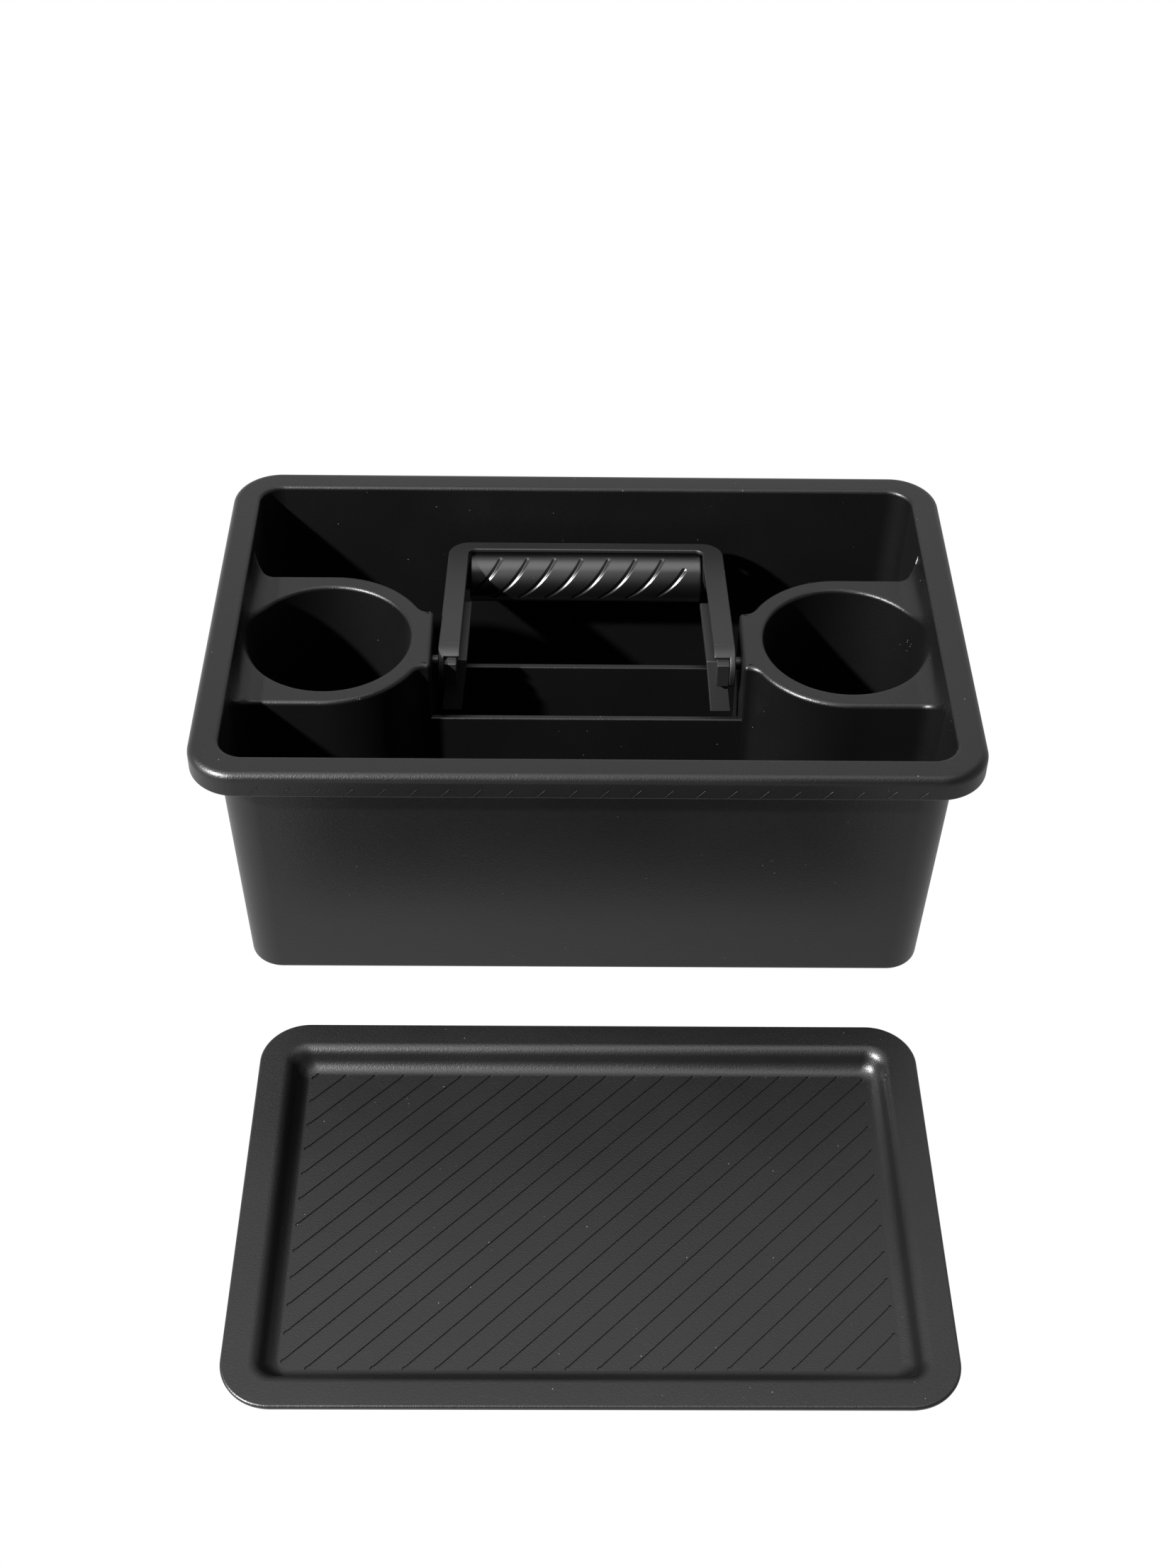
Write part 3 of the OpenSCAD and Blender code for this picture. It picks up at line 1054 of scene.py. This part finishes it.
    def boss(self) -> bmesh.types.BMesh:
        """The boss and web that hold the left end of the grip's rod.

        Returns:
            The boss.
        """
        near = self.grip_length / 2 + self.end_gap
        far = self.leg_face - self.leg_lean - self.boss_set_in
        knob = turned(bar_profile(-far, -near, self.boss_radius, self.boss_chamfer), self.grip_axis)
        front, back = self.grip_axis.y - self.web_front, self.reach - self.corner + self.web_back
        low, top = self.grip_axis.z, self.rise - self.web_top
        web = extruded([(front, low), (back, low), (back, top), (front, top)], far - near - 2 * self.web_set_in, {},
                       self.web_ease)
        spot = Matrix.Translation((-far + self.web_set_in, 0, 0))
        bmesh.ops.transform(web, matrix=spot @ YZ_TO_WORLD, verts=web.verts)
        return join([knob, web])

    def groove_path(self, index: int) -> np.ndarray:
        """The middle line of one slanted groove, as distance round the grip and along it.

        Args:
            index: Number of the groove, from the left.

        Returns:
            Rows of (arc length from the front, place along X).
        """
        first, last = self.last_groove_fall if index == self.groove_count - 1 else self.groove_fall
        fall = np.linspace(first, last, 14)
        swing = self.groove_swing[0] * fall + self.groove_swing[1] * fall ** 2
        along = self.groove_start + self.groove_pitch * index - swing
        around = self.grip_radius * np.radians(self.groove_top + self.rest_tilt - fall)
        return np.column_stack([around, along])

    def sunk(self, around: np.ndarray, along: np.ndarray) -> np.ndarray:
        """How deep the grooves are at points of the grip.

        Args:
            around: Arc length of each point from the front.
            along: Its place along X.

        Returns:
            The depth at each point.
        """
        depth = np.zeros(len(along))
        for index in range(self.groove_count):
            path = self.groove_path(index)
            near = np.full(len(along), 1.0)
            for start, end in zip(path, path[1:]):
                step = end - start
                share = ((around - start[0]) * step[0] + (along - start[1]) * step[1]) / step.dot(step)
                share = np.clip(share, 0, 1)
                gap = np.hypot(around - start[0] - share * step[0], along - start[1] - share * step[1])
                near = np.minimum(near, gap)
            inside = np.clip(1 - (near / self.groove_half) ** 2, 0, 1)
            depth = np.maximum(depth, self.groove_depth * inside)
        return depth

    def sleeve(self) -> bmesh.types.BMesh:
        """The grip with its slanted grooves, rolled up from a flat grid.

        Returns:
            The grip as a closed solid.
        """
        bm = bmesh.new()
        bmesh.ops.create_grid(bm, x_segments=300, y_segments=200, size=0.5)
        flat = np.array([v.co[:2] for v in bm.verts])
        x = flat[:, 0] * self.grip_length
        turn = flat[:, 1] * math.tau
        edge = self.grip_ease
        short = np.clip(edge - (self.grip_length / 2 - np.abs(x)), 0, edge)
        rounding = edge - np.sqrt(edge ** 2 - short ** 2)
        radius = self.grip_radius - self.sunk(self.grip_radius * turn, x) - rounding
        axis = self.grip_axis
        for vert, px, angle, r in zip(bm.verts, x, turn, radius):
            vert.co = Vector((px, axis.y - r * math.cos(angle), axis.z + r * math.sin(angle)))
        bmesh.ops.remove_doubles(bm, verts=bm.verts, dist=1e-6)
        for end in (-1, 1):
            rim = [e for e in bm.edges if e.is_boundary and e.verts[0].co.x * end > 0]
            bmesh.ops.edgeloop_fill(bm, edges=rim)
        return bm

    def pin(self) -> bmesh.types.BMesh:
        """The left pivot pin, in place."""
        profile = bar_profile(-self.pin_end, self.pin_reach - self.hub_outer, self.pin_radius, self.pin_chamfer)
        return turned(profile, Vector((0, 0, self.pivot_z)))

    def rod(self) -> bmesh.types.BMesh:
        """The rod inside the grip."""
        half = self.grip_length / 2 + self.end_gap + self.rod_seat
        return turned(bar_profile(-half, half, self.rod_radius, self.rod_chamfer), self.grip_axis)

    def build(self, bench: Bench) -> None:
        """Makes every piece of the handle and its pins.

        Args:
            bench: Where the pieces are finished.
        """
        framing = Mount(Body.HANDLE, ("handle_frame",), "handle_plastic", self.satin)
        bench.finish("handle_top", self.rested(self.strip()), framing)
        for side in Side:
            label = side.name.lower()
            leg = join([self.leg_side(), self.leg_curl(), self.boss()])
            bench.finish(f"{label}_leg", mirrored(self.rested(leg), side), framing)
            bench.finish(f"{label}_arm_bar", mirrored(self.rested(self.arm()), side),
                         Mount(Body.HANDLE, (f"{label}_arm",), "handle_plastic", self.satin))
            bench.finish(f"{label}_pin", mirrored(self.pin(), side),
                         Mount(Body.CADDY, (f"{label}_pivot_pin",), "pin_plastic", self.smooth))
        bench.finish("grip_grooved", self.rested(self.sleeve()),
                     Mount(Body.HANDLE, ("grip_sleeve",), "grip_plastic", self.gloss), sharp=80.0)
        bench.finish("grip_core", self.rested(self.rod()),
                     Mount(Body.HANDLE, ("grip_rod",), "rod_plastic", self.smooth))


# ---------------------------------------------------------------- tray


@dataclass
class Tray:
    """The lift-out tray with its grooved floor."""

    length: float = 338 * MM
    depth: float = 226 * MM
    height: float = 13 * MM
    radius: float = 24.5 * MM
    flange: float = 16.5 * MM
    slope: float = 4.4 * MM
    recess_radius: float = 11 * MM
    plastic: float = 2.4 * MM
    lip_depth: float = 2.4 * MM
    lip_inset: float = 1.5 * MM
    lip_ease: float = 0.3 * MM
    base_tuck: float = 0.8 * MM
    base_rise: float = 0.5 * MM
    base_narrowing: float = 1 * MM
    shift: float = 1.5 * MM
    middle_y: float = -275.5 * MM
    edge_round: float = 1.2 * MM
    # the recess's inner slope
    brow_round: float = 6 * MM
    foot_cove: float = 7.3 * MM
    corner_share: float = 0.48
    # grooves of the floor, which climb by the rise for each step to the right
    groove_rise: float = 1.0223
    groove_pitch: float = 15.27 * MM
    groove_corner: float = 62.05 * MM
    groove_first: int = -18
    groove_last: int = 11
    groove_width: float = 1.5 * MM
    groove_depth: float = 0.6 * MM
    groove_end: float = 1.1 * MM
    end_share: float = 0.98
    tool_height: float = 2 * MM
    grooved_x: float = 141.8 * MM
    grooved_y: float = 86.6 * MM
    finish: MouldedPlastic = field(default_factory=lambda: TRAY_MATT)

    def ring(self, inset: float, z: float, radius: float) -> RoundedRect:
        """A rounded rectangle at a distance in from the flange's edge."""
        return RoundedRect(self.length / 2 - inset, self.depth / 2 - inset, radius, z, 96)

    def corner_at(self, inset: float) -> float:
        """Corner radius of the recess at a distance in from the flange's edge."""
        return self.recess_radius + self.corner_share * (self.flange - self.brow_round / 2 - inset)

    def rings(self) -> list[RoundedRect]:
        """The rings of the tray, from the underside out round the flange and in to the floor.

        Returns:
            The rings in order.
        """
        under, ease_by = self.height - self.plastic, self.lip_ease
        foot = self.flange + self.slope
        lip_out, lip_in = self.lip_inset, self.lip_inset + self.plastic
        low = under - self.lip_depth
        back = self.flange - self.plastic + self.slope * self.plastic / self.height
        rings = [self.ring(foot - self.plastic + self.base_tuck, 0.0, self.recess_radius - self.base_narrowing),
                 self.ring(foot - self.plastic, self.base_rise, self.recess_radius),
                 self.ring(back, under, self.recess_radius + self.plastic),
                 self.ring(lip_in, under, self.radius - lip_in),
                 self.ring(lip_in, low + ease_by, self.radius - lip_in),
                 self.ring(lip_in - ease_by, low, self.radius - lip_in + ease_by),
                 self.ring(lip_out + ease_by, low, self.radius - lip_out - ease_by),
                 self.ring(lip_out, low + ease_by, self.radius - lip_out),
                 self.ring(lip_out, under, self.radius - lip_out),
                 self.ring(ease_by, under, self.radius - ease_by)]
        rings += [self.ring(s, z, self.radius - s)
                  for s, z in arc((self.edge_round, self.height - self.edge_round), self.edge_round, 180, 90, 5)]
        tilt = math.degrees(math.atan2(under, self.slope))
        tangent = self.brow_round * math.tan(math.radians(tilt / 2))
        brow = arc((self.flange - tangent, self.height - self.brow_round), self.brow_round, 90, 90 - tilt, 5)
        rings += [self.ring(s, z, self.corner_at(s)) for s, z in brow]
        cove_in = self.foot_cove * math.tan(math.radians(tilt / 2))
        cove = arc((foot + cove_in, self.plastic + self.foot_cove), self.foot_cove, 270 - tilt, 270, 6)
        rings += [self.ring(s, z, self.corner_at(s)) for s, z in cove]
        return rings

    def groove_ends(self) -> list[tuple[Vector, Vector]]:
        """The two ends of every slanted groove on the floor.

        Returns:
            Pairs of points in the tray's own plane.
        """
        ends = []
        for step in range(self.groove_first, self.groove_last + 1):
            offset = self.groove_corner + step * self.groove_pitch
            start_x = max(-self.grooved_x, (-self.grooved_y - offset) / self.groove_rise)
            end_x = min(self.grooved_x, (self.grooved_y - offset) / self.groove_rise)
            ends.append((Vector((start_x, self.groove_rise * start_x + offset)),
                         Vector((end_x, self.groove_rise * end_x + offset))))
        return ends

    def groove_tools(self) -> bmesh.types.BMesh:
        """Bars with wider round ends that cut the grooves.

        Returns:
            All the bars in one mesh, in the tray's own plane.
        """
        half, wide = self.groove_width / 2, self.groove_end
        turn = Matrix.Rotation(math.atan(self.groove_rise), 4, "Z")
        bars = []
        for start, end in self.groove_ends():
            run = max((end - start).length, 3 * wide)
            left = [(wide, half), (wide, wide), (-wide, wide), (-wide, -wide), (wide, -wide), (wide, -half)]
            right = [(run - x, -y) for x, y in left]
            bar = extruded(left + right, self.tool_height, {k: wide * self.end_share for k in (2, 3, 8, 9)}, 0.0)
            spot = Matrix.Translation((start.x, start.y, self.plastic - self.groove_depth))
            bmesh.ops.transform(bar, matrix=spot @ turn, verts=bar.verts)
            bars.append(bar)
        return join(bars)

    def build(self, bench: Bench) -> None:
        """Makes the tray.

        Args:
            bench: Where the piece is finished.
        """
        bm = carved(lofted(self.rings()), self.groove_tools())
        bmesh.ops.translate(bm, vec=(self.shift, self.middle_y, 0), verts=bm.verts)
        bench.finish("tray_moulding", bm, Mount(Body.TRAY, ("tray",), "tray_plastic", self.finish))


# ---------------------------------------------------------------- stage


@dataclass
class Studio:
    """Floor, lamp, surround and camera, whose own angles are in radians.

    A reach is the range of places or directions over which a glow changes; a glow is its strength at the ends.
    """

    camera_at: Vector = field(default_factory=lambda: Vector((-0.015145, -0.925278, 0.886013)))
    pitch: float = 0.7436505
    yaw: float = -0.0184075
    roll: float = 0.0183741
    lens: float = 50.599
    key_at: Vector = field(default_factory=lambda: Vector((-2.14, -1.472, 2.201)))
    key_power: float = 560.0
    key_size: float = 0.16
    key_aim: Vector = field(default_factory=lambda: Vector((0, -0.1, 0.08)))
    floor_half: float = 6.0
    floor_reach: Point = (-0.5, 0.4)
    floor_glow: Point = (1.275, 0.6375)
    back_reach: Point = (0.25, 0.65)
    back_glow: Point = (0.18, 1.10)
    top_reach: Point = (0.86, 0.98)
    top_glow: float = 3.6
    side_reach: Point = (0.40, 0.95)
    side_glow: float = 0.5
    fade_reach: Point = (0.05, 0.2)
    side_fade: float = 0.8

    def camera(self) -> None:
        """Places the camera."""
        right = Vector((1, 0, 0))
        ahead = Vector((0, math.cos(self.pitch), -math.sin(self.pitch)))
        up = Vector((0, math.sin(self.pitch), math.cos(self.pitch)))
        turn = Matrix.Rotation(self.yaw, 3, "Z")
        right, ahead, up = turn @ right, turn @ ahead, turn @ up
        c, s = math.cos(self.roll), math.sin(self.roll)
        right, up = c * right + s * up, c * up - s * right
        data = bpy.data.cameras.new("camera")
        data.sensor_fit = "VERTICAL"
        data.sensor_height = 36.0
        data.lens = self.lens
        camera = bpy.data.objects.new("camera", data)
        bpy.context.scene.collection.objects.link(camera)
        axes = Matrix((right, up, -ahead)).transposed().to_4x4()
        camera.matrix_world = Matrix.Translation(self.camera_at) @ axes
        bpy.context.scene.camera = camera

    def key(self) -> None:
        """Adds the one lamp, a round area light high at the front left."""
        data = bpy.data.lights.new("key light", "AREA")
        data.shape = "DISK"
        data.size = self.key_size
        data.energy = self.key_power
        lamp = bpy.data.objects.new("key light", data)
        bpy.context.scene.collection.objects.link(lamp)
        lamp.location = self.key_at
        lamp.rotation_euler = (self.key_aim - self.key_at).to_track_quat("-Z", "Y").to_euler()

    def floor(self) -> None:
        """Adds the pale floor: plain white to the camera, and a soft glow for what the object mirrors."""
        bm = bmesh.new()
        bmesh.ops.create_grid(bm, x_segments=1, y_segments=1, size=self.floor_half)
        mesh = bpy.data.meshes.new("floor")
        bm.to_mesh(mesh)
        bm.free()
        white = bpy.data.materials.new("floor white")
        table = NodeTable(white)
        path = table.add("ShaderNodeLightPath")
        place = table.add("ShaderNodeSeparateXYZ")
        table.link(table.add("ShaderNodeTexCoord").outputs["Object"], place.inputs["Vector"])
        glow = table.scaled(place.outputs["X"], self.floor_reach, self.floor_glow)
        power = table.scaled(path.outputs["Is Camera Ray"], (0.0, 1.0), (0.0, 1.0))
        table.link(glow, power.node.inputs["To Min"])
        shine = table.add("ShaderNodeEmission", Color=(1, 1, 1, 1))
        table.link(power, shine.inputs["Strength"])
        out = table.add("ShaderNodeOutputMaterial")
        table.link(shine.outputs["Emission"], out.inputs["Surface"])
        mesh.materials.append(white)
        ground = bpy.data.objects.new("floor", mesh)
        ground.visible_diffuse = False
        ground.visible_shadow = False
        bpy.context.scene.collection.objects.link(ground)

    def world(self) -> None:
        """Sets a surround that is white to the camera, bright behind and above, and dim elsewhere."""
        world = bpy.data.worlds.new("studio")
        bpy.context.scene.world = world
        table = NodeTable(world)
        path = table.add("ShaderNodeLightPath")
        split = table.add("ShaderNodeSeparateXYZ")
        table.link(table.add("ShaderNodeTexCoord").outputs["Generated"], split.inputs["Vector"])
        across, back, up = (split.outputs[axis] for axis in "XYZ")
        behind = table.scaled(back, self.back_reach, self.back_glow, smooth=True)
        above = table.scaled(up, self.top_reach, (0.0, self.top_glow), smooth=True)
        beside = table.scaled(across, self.side_reach, (0.0, self.side_glow), smooth=True)
        strongest = table.maths("MAXIMUM", table.maths("MAXIMUM", behind, above), beside)
        fade = table.scaled(table.maths("ABSOLUTE", across), self.fade_reach, (1.0, self.side_fade))
        studio = table.add("ShaderNodeBackground", Color=(1, 1, 1, 1))
        table.link(table.maths("MULTIPLY", strongest, fade), studio.inputs["Strength"])
        white = table.add("ShaderNodeBackground", Color=(1, 1, 1, 1))
        mix = table.add("ShaderNodeMixShader")
        table.link(path.outputs["Is Camera Ray"], mix.inputs["Fac"])
        table.link(studio.outputs["Background"], mix.inputs[1])
        table.link(white.outputs["Background"], mix.inputs[2])
        out = table.add("ShaderNodeOutputWorld")
        table.link(mix.outputs["Shader"], out.inputs["Surface"])

    def build(self) -> None:
        """Sets the whole stage."""
        bpy.context.scene.view_settings.view_transform = "Standard"
        self.camera()
        self.floor()
        self.world()
        self.key()


def main() -> None:
    """Builds the caddy and its stage."""
    logging.basicConfig(level=logging.INFO, format="%(message)s")
    bench = Bench()
    Tub().build(bench)
    Handle().build(bench)
    Tray().build(bench)
    Studio().build()


if __name__ == "__main__":
    main()
